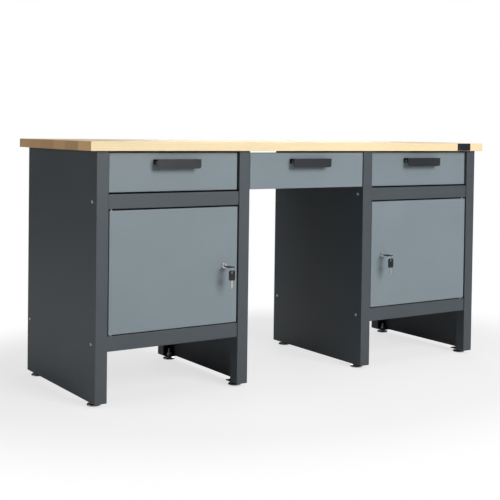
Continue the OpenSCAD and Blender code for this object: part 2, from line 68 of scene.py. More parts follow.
# ---------------------------------------------------------------- sizes and colours


class BenchSizes(bpy.types.PropertyGroup):
    """Sizes of the fine shapes that the frame doesn't hold."""

    bend_radius: FloatProperty(
        name="Bend radius", description="Outer radius of the folded sheet edges",
        default=0.0019, min=0.0005, max=0.004, unit="LENGTH", subtype="DISTANCE")
    bend_steps: IntProperty(
        name="Bend steps", description="Flat strips across one folded edge",
        default=4, min=2, max=8)
    front_radius: FloatProperty(
        name="Front radius", description="Outer radius of the folded edges of doors and fronts",
        default=0.0022, min=0.0005, max=0.004, unit="LENGTH", subtype="DISTANCE")
    broken_edge: FloatProperty(
        name="Broken edge", description="Width of the bevel on small turned and cut parts",
        default=0.0003, min=0.0001, max=0.001, unit="LENGTH", subtype="DISTANCE")
    stave_count: IntProperty(
        name="Staves", description="Timber staves side by side across the worktop",
        default=6, min=1, max=20)
    stave_radius: FloatProperty(
        name="Stave edge radius", description="Radius on the long edges of one stave",
        default=0.0008, min=0.0002, max=0.004, unit="LENGTH", subtype="DISTANCE")
    recess_depth: FloatProperty(
        name="Recess depth", description="Depth of the cross recess in a screw head",
        default=0.0013, min=0.0002, max=0.002, unit="LENGTH", subtype="DISTANCE")
    thread_pitch: FloatProperty(
        name="Thread pitch", description="Distance between the thread crests of a foot stem",
        default=0.0015, min=0.0008, max=0.003, unit="LENGTH", subtype="DISTANCE")
    seed: IntProperty(
        name="Seed", description="Seed for the turn of each screw",
        default=7, min=0, max=1000)


class BenchColours(bpy.types.PropertyGroup):
    """Base colours of the finishes."""

    frame_paint: FloatVectorProperty(
        name="Frame paint", description="Powder coat of the cabinets and rails",
        default=linear(69, 76, 81), min=0, max=1, size=3, subtype="COLOR")
    front_paint: FloatVectorProperty(
        name="Front paint", description="Powder coat of the drawer fronts and doors",
        default=linear(125, 137, 143), min=0, max=1, size=3, subtype="COLOR")
    handle_paint: FloatVectorProperty(
        name="Handle paint", description="Dark satin coat of the drawer handles",
        default=linear(38, 41, 45), min=0, max=1, size=3, subtype="COLOR")
    pale_timber: FloatVectorProperty(
        name="Pale timber", description="Early wood of the worktop",
        default=linear(245, 228, 190), min=0, max=1, size=3, subtype="COLOR")
    dark_timber: FloatVectorProperty(
        name="Dark timber", description="Late wood of the worktop",
        default=linear(232, 203, 152), min=0, max=1, size=3, subtype="COLOR")
    end_timber: FloatVectorProperty(
        name="End grain", description="Sawn ends of the worktop staves",
        default=linear(232, 188, 138), min=0, max=1, size=3, subtype="COLOR")
    zinc: FloatVectorProperty(
        name="Zinc", description="Plated screws, slides, nuts and feet",
        default=linear(218, 221, 223), min=0, max=1, size=3, subtype="COLOR")
    bow_black: FloatVectorProperty(
        name="Key bow", description="Moulded bows of the keys",
        default=linear(9, 9, 10), min=0, max=1, size=3, subtype="COLOR")
    floor: FloatVectorProperty(
        name="Floor", description="Pale studio floor",
        default=linear(236, 236, 236), min=0, max=1, size=3, subtype="COLOR")


class BenchStage(bpy.types.PropertyGroup):
    """Where the camera stands and how strong the lights are."""

    camera_place: FloatVectorProperty(
        name="Camera place", description="Where the camera stands",
        default=(-2.209, -3.218, 0.881), size=3, subtype="TRANSLATION", unit="LENGTH")
    camera_turn: FloatProperty(
        name="Camera turn", description="Turn of the view to the right of straight ahead",
        default=math.radians(33.53), subtype="ANGLE", unit="ROTATION")
    camera_dip: FloatProperty(
        name="Camera dip", description="How far the view points below level",
        default=math.radians(1.5), subtype="ANGLE", unit="ROTATION")
    camera_roll: FloatProperty(
        name="Camera roll", description="Roll of the camera about its own axis",
        default=math.radians(0.77), subtype="ANGLE", unit="ROTATION")
    lens: FloatProperty(
        name="Lens", description="Focal length over a sensor 36 mm wide, in millimetres",
        default=74.69, min=10, max=300)
    shift: FloatProperty(
        name="Shift", description="Upward shift of the picture in picture widths",
        default=-0.1855, min=-1, max=1)
    key_power: FloatProperty(
        name="Key power", description="Power of the large soft light", default=252, min=0,
        subtype="POWER", unit="POWER")
    side_power: FloatProperty(
        name="Side power", description="Power of the soft light on the left", default=34, min=0,
        subtype="POWER", unit="POWER")
    top_power: FloatProperty(
        name="Top power", description="Power of the soft light overhead", default=35, min=0,
        subtype="POWER", unit="POWER")
    back_power: FloatProperty(
        name="Back power", description="Power of the soft light behind", default=90, min=0,
        subtype="POWER", unit="POWER")
    sky: FloatProperty(
        name="Sky", description="Strength of the even light from all round", default=0.07, min=0)


# ---------------------------------------------------------------- node trees


class Value:
    """A socket of a node tree that takes part in plain arithmetic."""

    def __init__(self, graph, socket):
        self.graph = graph
        self.socket = socket

    def __add__(self, other):
        return self.graph.maths("ADD", self, other)

    def __radd__(self, other):
        return self.graph.maths("ADD", other, self)

    def __sub__(self, other):
        return self.graph.maths("SUBTRACT", self, other)

    def __rsub__(self, other):
        return self.graph.maths("SUBTRACT", other, self)

    def __mul__(self, other):
        return self.graph.maths("MULTIPLY", self, other)

    def __rmul__(self, other):
        return self.graph.maths("MULTIPLY", other, self)

    def __truediv__(self, other):
        return self.graph.maths("DIVIDE", self, other)

    def __rtruediv__(self, other):
        return self.graph.maths("DIVIDE", other, self)

    def __pow__(self, other):
        return self.graph.maths("POWER", self, other)

    def __neg__(self):
        return self.graph.maths("MULTIPLY", self, -1)

    def __abs__(self):
        return self.graph.maths("ABSOLUTE", self)


class Graph:
    """Adds nodes to one tree."""

    def __init__(self, tree):
        self.tree = tree
        tree.nodes.clear()

    def node(self, kind, settings=None, inputs=None):
        """One node of any kind, with its settings and its linked or plain inputs."""
        made = self.tree.nodes.new(kind)
        for name, setting in (settings or {}).items():
            setattr(made, name, setting)
        for key, item in (inputs or {}).items():
            self.feed(made.inputs[key], item)
        return made

    def feed(self, socket, item):
        """Links a socket to a value, or gives it a plain number."""
        if isinstance(item, Value):
            self.tree.links.new(item.socket, socket)
        elif isinstance(item, bpy.types.NodeSocket):
            self.tree.links.new(item, socket)
        else:
            socket.default_value = item

    def value(self, kind, settings=None, inputs=None, output=0):
        """One output of a new node, ready for arithmetic."""
        return Value(self, self.node(kind, settings, inputs).outputs[output])

    def maths(self, operation, *terms):
        inputs = dict(enumerate(terms))
        return self.value("ShaderNodeMath", {"operation": operation}, inputs)

    def vector(self, operation, *terms):
        inputs = dict(enumerate(terms))
        return self.value("ShaderNodeVectorMath", {"operation": operation}, inputs)

    def combine(self, x, y, z):
        return self.value("ShaderNodeCombineXYZ", None, {"X": x, "Y": y, "Z": z})

    def split(self, vector):
        made = self.node("ShaderNodeSeparateXYZ", None, {0: vector})
        return [Value(self, s) for s in made.outputs]

    def place(self):
        """Position on the piece, in metres."""
        return self.value("ShaderNodeTexCoord", None, None, "Object")

    def noise(self, vector, scale, detail=2.0, rough=0.5, distortion=0.0):
        return self.value("ShaderNodeTexNoise", None, {
            "Vector": vector, "Scale": scale, "Detail": detail, "Roughness": rough,
            "Distortion": distortion})

    def cells(self, vector, scale, feature="F1", output="Distance"):
        return self.value("ShaderNodeTexVoronoi", {"feature": feature},
                          {"Vector": vector, "Scale": scale}, output)

    def chance(self, number):
        return self.value("ShaderNodeTexWhiteNoise", {"noise_dimensions": "1D"}, {"W": number})

    def ease(self, value, low, high, start=0.0, end=1.0):
        """Goes smoothly from start to end as value goes from low to high."""
        return self.value("ShaderNodeMapRange", {"interpolation_type": "SMOOTHSTEP"}, {
            "Value": value, "From Min": low, "From Max": high, "To Min": start, "To Max": end})

    def blend(self, factor, first, second, kind="MIX"):
        """Mix of two colours, each an output or three plain numbers."""
        made = self.node("ShaderNodeMix", {"data_type": "RGBA", "blend_type": kind})
        self.feed(made.inputs["Factor"], factor)
        for socket, item in ((made.inputs[6], first), (made.inputs[7], second)):
            self.feed(socket, item if isinstance(item, Value) else (*item, 1.0))
        return Value(self, made.outputs[2])

    def scaled(self, colour, factor):
        """A colour made lighter or darker by a factor."""
        return self.value("ShaderNodeVectorMath", {"operation": "SCALE"},
                          {0: colour if isinstance(colour, Value) else tuple(colour),
                           "Scale": factor})

    def bump(self, height, strength, distance, normal=None):
        inputs = {"Height": height, "Strength": strength, "Distance": distance}
        if normal is not None:
            inputs["Normal"] = normal
        return self.value("ShaderNodeBump", None, inputs)

    def surface(self, **inputs):
        """The principled shader of a finish and the output node."""
        named = {key.replace("_", " "): item for key, item in inputs.items()}
        shader = self.node("ShaderNodeBsdfPrincipled", None, named)
        self.node("ShaderNodeOutputMaterial", None, {"Surface": shader.outputs[0]})


def finish(name, build):
    """The material of that name, built once."""
    made = bpy.data.materials.get(name)
    if made is None:
        made = bpy.data.materials.new(name)
        made.use_nodes = True
        build(Graph(made.node_tree))
    return made


def powder_coat(colour, rough, peel=0.16):
    """Powder coat: orange peel, faint cloudiness, and a little dust in streaks here and there."""

    def build(g):
        place = g.place()
        cloud = g.noise(place, 5.0, 3.0, 0.55)
        grain = g.noise(place, 700.0, 2.0, 0.6)
        skin = g.noise(place, 380.0, 3.0, 0.55)
        wave = g.noise(place, 14.0, 1.0, 0.4)
        scuff = g.noise(g.vector("MULTIPLY", place, (30.0, 30.0, 210.0)), 1.0, 5.0, 0.7)
        mark = g.ease(scuff, 0.69, 0.78)
        shade = 1.0 + (cloud - 0.5) * 0.14 + (grain - 0.5) * 0.16
        base = g.blend(mark * 0.16, g.scaled(colour, shade), (0.55, 0.56, 0.57))
        height = skin * 0.7 + grain * 0.3 + wave * 1.6
        g.surface(Base_Color=base, Roughness=rough + (cloud - 0.5) * 0.12 + mark * 0.1,
                  Normal=g.bump(height, peel, 0.0006), IOR=1.5)

    return build


def plated(colour, rough, spangle=60.0, streak=(1.0, 1.0, 1.0)):
    """Bright plated steel with soft spangles and fine scratches."""

    def build(g):
        place = g.vector("MULTIPLY", g.place(), streak)
        patch = g.cells(place, spangle, "SMOOTH_F1")
        fine = g.noise(place, 900.0, 3.0, 0.6)
        cloud = g.noise(place, 22.0, 3.0, 0.6)
        stain = g.ease(g.noise(place, 35.0, 4.0, 0.7), 0.6, 0.8)
        tone = 0.9 + patch * 0.12 + (fine - 0.5) * 0.14
        base = g.blend(stain * 0.4, g.scaled(colour, tone), (0.30, 0.28, 0.26))
        g.surface(Base_Color=base, Metallic=1.0,
                  Roughness=rough + (cloud - 0.5) * 0.16 + stain * 0.12,
                  Normal=g.bump(fine + patch * 0.4, 0.09, 0.0003))

    return build


def moulded(colour, rough):
    """Moulded plastic with a fine leather grain."""

    def build(g):
        place = g.place()
        grain = g.cells(place, 1400.0, "DISTANCE_TO_EDGE")
        cloud = g.noise(place, 160.0, 3.0, 0.6)
        rub = g.ease(g.noise(place, 90.0, 4.0, 0.65), 0.62, 0.78)
        base = g.blend(rub * 0.15, g.scaled(colour, 0.85 + cloud * 0.3), (0.08, 0.08, 0.085))
        g.surface(Base_Color=base, Roughness=rough + (cloud - 0.5) * 0.2,
                  Normal=g.bump(grain, 0.25, 0.0002))

    return build


def glued_timber(colours, low, high, pitch):
    """Glued staves: growth rings about a heart line of each stave, fibres and pores."""

    def build(g):
        place = g.place()
        x, y, z = g.split(place)
        stave = g.value("ShaderNodeAttribute", {"attribute_name": "stave"}, None, "Fac")
        luck = [g.chance(stave + 0.5 + 11.0 * k) for k in range(5)]
        along = g.combine(x * 0.9 + stave * 5.3, y * 7.0, z * 7.0)
        drift = g.noise(along, 1.6, 3.0, 0.55)
        heart_y = low.y + (stave + 0.5) * pitch + (luck[0] - 0.5) * 0.16
        heart_z = low.z - 0.03 - luck[1] * 0.09
        across = y - heart_y + (drift - 0.5) * 0.022
        up = z - heart_z + (drift - 0.5) * 0.010
        reach = (across * across + up * up) ** 0.5
        turn = reach / 0.0058 + g.noise(along, 0.8, 2.0, 0.5) * 5.0
        ring = g.maths("FRACT", turn)
        late = g.ease(ring, 0.35, 0.92) * (1.0 - g.ease(ring, 0.93, 1.0))
        fibre = g.noise(g.combine(x * 6.0 + stave * 3.1, y * 520.0, z * 520.0), 1.0, 4.0, 0.65)
        fleck = g.ease(g.noise(g.combine(x * 60.0, y * 900.0, z * 900.0), 1.0, 2.0, 0.5), 0.62, 0.75)
        cloud = g.noise(along, 2.6, 3.0, 0.6)
        facing = g.split(g.value("ShaderNodeTexCoord", None, None, "Normal"))[0]
        sawn = g.ease(abs(facing), 0.55, 0.85)
        pore = g.ease(g.cells(g.combine(x * 40.0, y * 1.0, z * 1.0), 900.0), 0.10, 0.32, 1.0, 0.0)
        seam_at = g.maths("FRACT", (y - low.y) / pitch)
        inside = g.ease(y, low.y + 0.002, low.y + 0.004) * g.ease(y, high.y - 0.004, high.y - 0.002,
                                                                  1.0, 0.0)
        seam = g.ease(abs(seam_at - 0.5), 0.4925, 0.4985) * inside
        tone = 0.93 + luck[2] * 0.13 + (fibre - 0.5) * 0.20 + (cloud - 0.5) * 0.10
        bold = g.ease(g.noise(along, 1.1, 2.0, 0.5), 0.35, 0.65, 0.15, 0.7)
        plank = g.blend(late * bold + fleck * 0.15, colours.pale_timber, colours.dark_timber)
        plank = g.blend(luck[3] * 0.4, plank, colours.dark_timber)
        cut = g.blend(late * 0.8, colours.end_timber, [c * 0.55 for c in colours.end_timber])
        cut = g.scaled(cut, 0.66 + luck[4] * 0.72 - pore * 0.12)
        base = g.blend(sawn, g.scaled(plank, tone), cut)
        base = g.blend(seam * 0.55, base, (0.20, 0.11, 0.05))
        height = fibre * 0.6 - late * 0.25 - pore * sawn * 0.8
        g.surface(Base_Color=base, Roughness=0.50 + fibre * 0.12 + sawn * 0.14 - late * 0.05,
                  Normal=g.bump(height, 0.22, 0.0005), IOR=1.45)

    return build


# ---------------------------------------------------------------- mesh helpers


def add_object(name, mesh):
    made = bpy.data.objects.new(name, mesh)
    bpy.context.scene.collection.objects.link(made)
    return made


def plain_mesh(obj):
    """The evaluated mesh of an object, which the object then keeps in place of its modifiers."""
    bpy.context.view_layer.update()
    seen = obj.evaluated_get(bpy.context.evaluated_depsgraph_get())
    mesh = bpy.data.meshes.new_from_object(seen)
    mesh.name = obj.name
    obj.modifiers.clear()
    obj.data = mesh
    return mesh


def merged_copy(node):
    """The mesh of a frame node as one joined surface with its flat areas whole."""
    bm = bmesh.new()
    bm.from_mesh(NODES[node].data)
    bmesh.ops.remove_doubles(bm, verts=bm.verts, dist=2e-6)
    bmesh.ops.dissolve_limit(bm, angle_limit=math.radians(0.6), verts=bm.verts, edges=bm.edges)
    return bm


def flat_areas(bm):
    """Face index to the mean width of the flat area that the face belongs to."""
    bm.faces.index_update()
    owner = list(range(len(bm.faces)))

    def root(i):
        while owner[i] != i:
            owner[i] = owner[owner[i]]
            i = owner[i]
        return i

    inner = set()
    for edge in bm.edges:
        if len(edge.link_faces) == 2 and edge.calc_face_angle(9) < 0.01:
            inner.add(edge)
            first, second = (root(f.index) for f in edge.link_faces)
            owner[first] = second
    area = {}
    rim = {}
    for face in bm.faces:
        key = root(face.index)
        area[key] = area.get(key, 0) + face.calc_area()
        for edge in face.edges:
            if edge not in inner:
                rim[key] = rim.get(key, 0) + edge.calc_length()
    return {f.index: 2 * area[root(f.index)] / max(rim.get(root(f.index), 1), 1e-9)
            for f in bm.faces}


def round_edges(bm, edges, radius, steps):
    if edges:
        bmesh.ops.bevel(bm, geom=edges, offset=radius, offset_type="OFFSET", segments=steps,
                        profile=0.5, affect="EDGES", clamp_overlap=True)


def folded(node, radius, steps):
    """A frame node of folded sheet, with its outer bends rounded."""
    bm = merged_copy(node)
    width = flat_areas(bm)
    bends = []
    for edge in bm.edges:
        if len(edge.link_faces) != 2 or edge.calc_face_angle_signed(0) < 1.0:
            continue
        if all(width[f.index] > BROAD for f in edge.link_faces):
            bends.append(edge)
    round_edges(bm, bends, radius, steps)
    return bm


def eased(node, radius, steps=2, limit=0.7):
    """A frame node with all its sharp outer edges broken."""
    bm = merged_copy(node)
    sharp = [e for e in bm.edges
             if len(e.link_faces) == 2 and e.calc_face_angle_signed(0) > limit]
    round_edges(bm, sharp, radius, steps)
    return bm


def to_object(bm, name, angle=38.0):
    """A shaded object of a closed surface: curved parts smooth, flat parts flat."""
    bmesh.ops.recalc_face_normals(bm, faces=bm.faces)
    for face in bm.faces:
        face.smooth = True
    for edge in bm.edges:
        flat = len(edge.link_faces) != 2 or edge.calc_face_angle(9) > math.radians(angle)
        edge.smooth = not flat
    mesh = bpy.data.meshes.new(name)
    bm.to_mesh(mesh)
    bm.free()
    made = add_object(name, mesh)
    weighted = made.modifiers.new("weighted", "WEIGHTED_NORMAL")
    weighted.keep_sharp = True
    weighted.weight = 60
    plain_mesh(made)
    return made


def stand_in(obj, material, body, slot, *nodes):
    """Finishes a piece: its material, the body it rides on and the nodes it stands for; slot is not
    used.
    """
    if not obj.data.polygons:
        raise RuntimeError(f"{obj.name} came out empty")
    obj.data.materials.clear()
    obj.data.materials.append(material)
    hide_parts(*nodes)
    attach(obj, body)
    return obj


def ring_mesh(bm, profile, steps, matrix):
    """Turns a profile of (radius, height) points about an axis and caps it at radius nought."""
    rings = []
    for radius, height in profile:
        if radius < 1e-7:
            rings.append([bm.verts.new(matrix @ Vector((0, 0, height)))])
            continue
        ring = []
        for k in range(steps):
            a = 2 * math.pi * k / steps
            ring.append(bm.verts.new(
                matrix @ Vector((radius * math.cos(a), radius * math.sin(a), height))))
        rings.append(ring)
    for lower, upper in zip(rings, rings[1:]):
        for k in range(steps):
            n = (k + 1) % steps
            corners = [lower[k % len(lower)], lower[n % len(lower)],
                       upper[n % len(upper)], upper[k % len(upper)]]
            face = list(dict.fromkeys(corners))
            if len(face) > 2:
                bm.faces.new(face)
    if len(rings[0]) > 1 and len(rings[-1]) > 1 and profile[0] == profile[-1]:
        bmesh.ops.remove_doubles(bm, verts=rings[0] + rings[-1], dist=1e-7)
    return bm


def turned(profile, steps=48, matrix=Matrix()):
    """A closed turned body."""
    return ring_mesh(bmesh.new(), profile, steps, matrix)


def aim(place, direction):
    """Matrix that takes the Z axis to a direction, at a place."""
    return Matrix.Translation(place) @ Vector(direction).to_track_quat("Z", "Y").to_matrix().to_4x4()


def outline(points, closed=True):
    """A list of flat points from corners (x, y, radius), each corner rounded."""
    made = []
    count = len(points)
    for k, (x, y, radius) in enumerate(points):
        here = Vector((x, y))
        if radius <= 0:
            made.append(here)
            continue
        before = (Vector(points[k - 1][:2]) - here).normalized()
        after = (Vector(points[(k + 1) % count][:2]) - here).normalized()
        half = before.angle(after) / 2
        length = radius / math.tan(half)
        centre = here + (before + after).normalized() * (radius / math.sin(half))
        start = here + before * length - centre
        end = here + after * length - centre
        sweep = math.atan2(start.x * end.y - start.y * end.x, start.dot(end))
        steps = max(2, round(abs(sweep) / math.radians(15)))
        for i in range(steps + 1):
            made.append(centre + Matrix.Rotation(sweep * i / steps, 2) @ start)
    return made


def box_corners(x0, y0, x1, y1, radius):
    return outline([(x0, y0, radius), (x1, y0, radius), (x1, y1, radius), (x0, y1, radius)])


def plate(name, loops, thickness, edge, matrix):
    """A flat plate from a closed outline and the outlines of its holes, with eased edges."""
    curve = bpy.data.curves.new(name, "CURVE")
    curve.dimensions = "2D"
    curve.fill_mode = "BOTH"
    curve.extrude = thickness / 2 - edge
    curve.bevel_depth = edge
    curve.bevel_resolution = 1
    curve.offset = -edge
    for loop in loops:
        spline = curve.splines.new("POLY")
        spline.points.add(len(loop) - 1)
        for point, place in zip(spline.points, loop):
            point.co = (place[0], place[1], 0, 1)
        spline.use_cyclic_u = True
    drawn = add_object(name + "_drawn", curve)
    bpy.context.view_layer.update()
    seen = drawn.evaluated_get(bpy.context.evaluated_depsgraph_get())
    mesh = bpy.data.meshes.new_from_object(seen)
    bm = bmesh.new()
    bm.from_mesh(mesh)
    bpy.data.objects.remove(drawn)
    bpy.data.meshes.remove(mesh)
    bpy.data.curves.remove(curve)
    bmesh.ops.remove_doubles(bm, verts=bm.verts, dist=1e-6)
    bmesh.ops.transform(bm, matrix=matrix, verts=bm.verts)
    return bm


def join_into(bm, other):
    """Adds the faces of one mesh to another."""
    mesh = bpy.data.meshes.new("part")
    other.to_mesh(mesh)
    other.free()
    bm.from_mesh(mesh)
    bpy.data.meshes.remove(mesh)
    return bm


def islands(node):
    """The corner points of each separate solid of a node."""
    bm = merged_copy(node)
    left = set(bm.verts)
    found = []
    while left:
        stack = [left.pop()]
        group = []
        while stack:
            vert = stack.pop()
            group.append(vert.co.copy())
            for edge in vert.link_edges:
                other = edge.other_vert(vert)
                if other in left:
                    left.remove(other)
                    stack.append(other)
        found.append(np.array(group))
    bm.free()
    return sorted(found, key=lambda g: tuple(np.round(g.mean(0), 4)))


def screw_seats(node):
    """For each pan screw of a node: the top of its head, its outward direction, radius, length."""
    seats = []
    for group in islands(node):
        low, high = group.min(0), group.max(0)
        size = high - low
        gaps = [abs(size[(k + 1) % 3] - size[(k + 2) % 3]) for k in range(3)]
        axis = int(np.argmin(gaps))
        others = [k for k in range(3) if k != axis]
        middle = (low + high) / 2
        reach = np.hypot(*(group[:, k] - middle[k] for k in others))
        widest = group[np.argmax(reach)][axis]
        sign = 1 if widest > middle[axis] else -1
        top = middle.copy()
        top[axis] = high[axis] if sign > 0 else low[axis]
        direction = np.zeros(3)
        direction[axis] = sign
        seats.append((top, direction, float(reach.max()), float(size[axis])))
    return seats


# ---------------------------------------------------------------- geometry node trees


def new_tree(name, sockets):
    """A geometry tree with named inputs; returns the tree, its graph and its input sockets."""
    tree = bpy.data.node_groups.new(name, "GeometryNodeTree")
    graph = Graph(tree)
    tree.interface.new_socket(name="Geometry", in_out="OUTPUT", socket_type="NodeSocketGeometry")
    tree.interface.new_socket(name="Geometry", in_out="INPUT", socket_type="NodeSocketGeometry")
    for label, kind in sockets:
        tree.interface.new_socket(name=label, in_out="INPUT", socket_type="NodeSocket" + kind)
    entry = graph.node("NodeGroupInput")
    return tree, graph, {s.name: s for s in entry.outputs if s.name}


def run_tree(obj, tree, settings):
    """Puts a tree on an object with its inputs set, and keeps the plain mesh that it makes."""
    modifier = obj.modifiers.new(tree.name, "NODES")
    modifier.node_group = tree
    for item in tree.interface.items_tree:
        if item.in_out == "INPUT" and item.name in settings:
            modifier[item.identifier] = settings[item.name]
    return plain_mesh(obj)


def close_tree(g, geometry, material):
    """Ends a tree: instances made real, and the material set."""
    real = g.node("GeometryNodeRealizeInstances", None, {"Geometry": geometry})
    painted = g.node("GeometryNodeSetMaterial", None,
                     {"Geometry": real.outputs[0], "Material": material})
    g.node("NodeGroupOutput", None, {0: painted.outputs[0]})


def stave_tree():
    """Staves of rounded section side by side, each with its number in the attribute stave."""
    tree, g, given = new_tree("staves", [
        ("Length", "Float"), ("Depth", "Float"), ("Thickness", "Float"), ("Count", "Int"),
        ("Radius", "Float"), ("Lap", "Float"), ("Material", "Material")])
    count = Value(g, given["Count"])
    lap = Value(g, given["Lap"])
    depth = Value(g, given["Depth"])
    width = (depth + (count - 1) * lap) / count
    section = g.node("GeometryNodeCurvePrimitiveQuadrilateral", None,
                     {"Width": width, "Height": given["Thickness"]})
    smooth = g.node("GeometryNodeFilletCurve", {"mode": "POLY"}, {
        "Curve": section.outputs[0], "Radius": given["Radius"], "Limit Radius": True})
    g.feed(smooth.inputs["Count"], 3)
    half = Value(g, given["Length"]) * 0.5
    line = g.node("GeometryNodeCurvePrimitiveLine", None, {
        "Start": g.combine(-half, 0.0, 0.0), "End": g.combine(half, 0.0, 0.0)})
    stave = g.node("GeometryNodeCurveToMesh", None, {
        "Curve": line.outputs[0], "Profile Curve": smooth.outputs[0], "Fill Caps": True})
    step = width - lap
    places = g.node("GeometryNodeMeshLine", None, {
        "Count": given["Count"],
        "Start Location": g.combine(0.0, (width - depth) * 0.5, 0.0),
        "Offset": g.combine(0.0, step, 0.0)})
    number = g.node("GeometryNodeInputIndex")
    marked = g.node("GeometryNodeStoreNamedAttribute",
                    {"data_type": "FLOAT", "domain": "POINT"},
                    {"Geometry": places.outputs[0], "Name": "stave", "Value": number.outputs[0]})
    row = g.node("GeometryNodeInstanceOnPoints", None,
                 {"Points": marked.outputs[0], "Instance": stave.outputs[0]})
    close_tree(g, row.outputs[0], given["Material"])
    return tree


def seat_tree():
    """One shape set on every point, along the point's axis, with a turn of its own."""
    tree, g, given = new_tree("seats", [
        ("Shape", "Object"), ("Turn", "Float"), ("Seed", "Int"), ("Material", "Material")])
    shape = g.node("GeometryNodeObjectInfo", None, {"Object": given["Shape"]})
    axis = g.node("GeometryNodeInputNamedAttribute", {"data_type": "FLOAT_VECTOR"},
                  {"Name": "axis"})
    aimed = g.node("FunctionNodeAlignRotationToVector", {"axis": "Z"},
                   {"Vector": axis.outputs[0]})
    spin = g.node("FunctionNodeRandomValue", {"data_type": "FLOAT"}, {"Seed": given["Seed"]})
    g.feed(spin.inputs[3], Value(g, given["Turn"]))
    own = g.node("FunctionNodeAxisAngleToRotation", None,
                 {"Axis": (0, 0, 1), "Angle": spin.outputs[1]})
    spun = g.node("FunctionNodeRotateRotation", {"rotation_space": "LOCAL"},
                  {"Rotation": aimed.outputs[0], "Rotate By": own.outputs[0]})
    row = g.node("GeometryNodeInstanceOnPoints", None, {
        "Points": given["Geometry"], "Instance": shape.outputs["Geometry"],
        "Rotation": spun.outputs[0]})
    close_tree(g, row.outputs[0], given["Material"])
    return tree


def set_on(name, shape, seats, turn, seed, material):
    """An object made of one shape set on many seats, each a place and a direction."""
    mesh = bpy.data.meshes.new(name)
    mesh.from_pydata([tuple(place) for place, _ in seats], [], [])
    axes = mesh.attributes.new("axis", "FLOAT_VECTOR", "POINT")
    axes.data.foreach_set("vector", np.array([d for _, d in seats], float).ravel())
    made = add_object(name, mesh)
    tree = bpy.data.node_groups.get("seats") or seat_tree()
    run_tree(made, tree, {"Shape": shape, "Turn": turn, "Seed": seed, "Material": material})
    bpy.data.objects.remove(shape)
    return made


# ---------------------------------------------------------------- finishes in use


def paints(context):
    """All finishes, by name."""
    c = context.scene.bench_colours
    low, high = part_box("worktop")
    pitch = (high.y - low.y) / context.scene.bench_sizes.stave_count
    return {
        "frame": finish("frame_coat", powder_coat(c.frame_paint, 0.44)),
        "front": finish("front_coat", powder_coat(c.front_paint, 0.40)),
        "handle": finish("handle_coat", powder_coat(c.handle_paint, 0.36, 0.10)),
        "timber": finish("glued_timber", glued_timber(c, low, high, pitch)),
        "zinc": finish("zinc_plate", plated(c.zinc, 0.36)),
        "rolled": finish("rolled_zinc", plated(c.zinc, 0.34, 45.0, (1.0, 0.12, 1.0))),
        "nickel": finish("nickel_plate", plated(linear(196, 196, 197), 0.22, 90.0)),
        "bow": finish("bow_moulding", moulded(c.bow_black, 0.42)),
        "label": finish("label_plate", plated(linear(70, 74, 80), 0.42, 90.0)),
    }


# ---------------------------------------------------------------- operators


class BENCH_OT_worktop(bpy.types.Operator):
    """Glued timber worktop, stave by stave"""

    bl_idname = "bench.worktop"
    bl_label = "Worktop"

    def execute(self, context):
        sizes = context.scene.bench_sizes
        low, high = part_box("worktop")
        size = high - low
        made = add_object("worktop_staves", bpy.data.meshes.new("worktop_staves"))
        timber = paints(context)["timber"]
        run_tree(made, stave_tree(), {
            "Length": size.x, "Depth": size.y, "Thickness": size.z, "Count": sizes.stave_count,
            "Radius": sizes.stave_radius, "Lap": 0.0002, "Material": timber})
        bm = bmesh.new()
        bm.from_mesh(made.data)
        bmesh.ops.remove_doubles(bm, verts=bm.verts, dist=1e-6)
        bmesh.ops.translate(bm, vec=(low + high) / 2, verts=bm.verts)
        ends = [e for e in bm.edges if len(e.link_faces) == 2 and e.calc_face_angle(0) > 1.2
                and any(abs(f.normal.x) > 0.9 for f in e.link_faces)]
        round_edges(bm, ends, sizes.stave_radius * 0.6, 2)
        old = made.data
        bpy.data.objects.remove(made)
        bpy.data.meshes.remove(old)
        made = to_object(bm, "worktop_staves")
        stand_in(made, timber, "bench", "timber", "worktop")
        return {"FINISHED"}


class BENCH_OT_edge_plate(bpy.types.Operator):
    """Blank plate riveted to the front edge of the worktop"""

    bl_idname = "bench.edge_plate"
    bl_label = "Edge plate"

    def execute(self, context):
        low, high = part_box("edge_plate")
        middle = (low + high) / 2
        wide, deep, tall = high - low
        stand = Matrix.Translation((middle.x, high.y - deep * 0.35, middle.z)) @ Matrix.Rotation(
            math.radians(90), 4, "X")
        body = plate("edge_plate_body", [box_corners(
            -wide / 2, -tall / 2, wide / 2, tall / 2, 2.5 * MM)], deep * 0.7, 0.15 * MM, stand)
        inset = 2.2 * MM
        rim = plate("edge_plate_rim", [
            box_corners(-wide / 2, -tall / 2, wide / 2, tall / 2, 2.5 * MM),
            box_corners(-wide / 2 + inset, -tall / 2 + inset, wide / 2 - inset, tall / 2 - inset,
                        1.2 * MM)], deep * 0.6, 0.12 * MM,
            Matrix.Translation((0, -deep * 0.3, 0)) @ stand)
        join_into(body, rim)
        for side in (-1, 1):
            seat = Vector((middle.x + side * (wide / 2 - 6 * MM), high.y - deep * 0.69, middle.z))
            join_into(body, turned([(0, -0.1 * MM), (1.6 * MM, -0.1 * MM), (1.6 * MM, 0.05 * MM),
                                    (1.2 * MM, 0.28 * MM), (0, 0.33 * MM)], 20,
                                   aim(seat, (0, -1, 0))))
        made = to_object(body, "edge_plate_blank")
        stand_in(made, paints(context)["label"], "bench", "plate", "edge_plate")
        return {"FINISHED"}


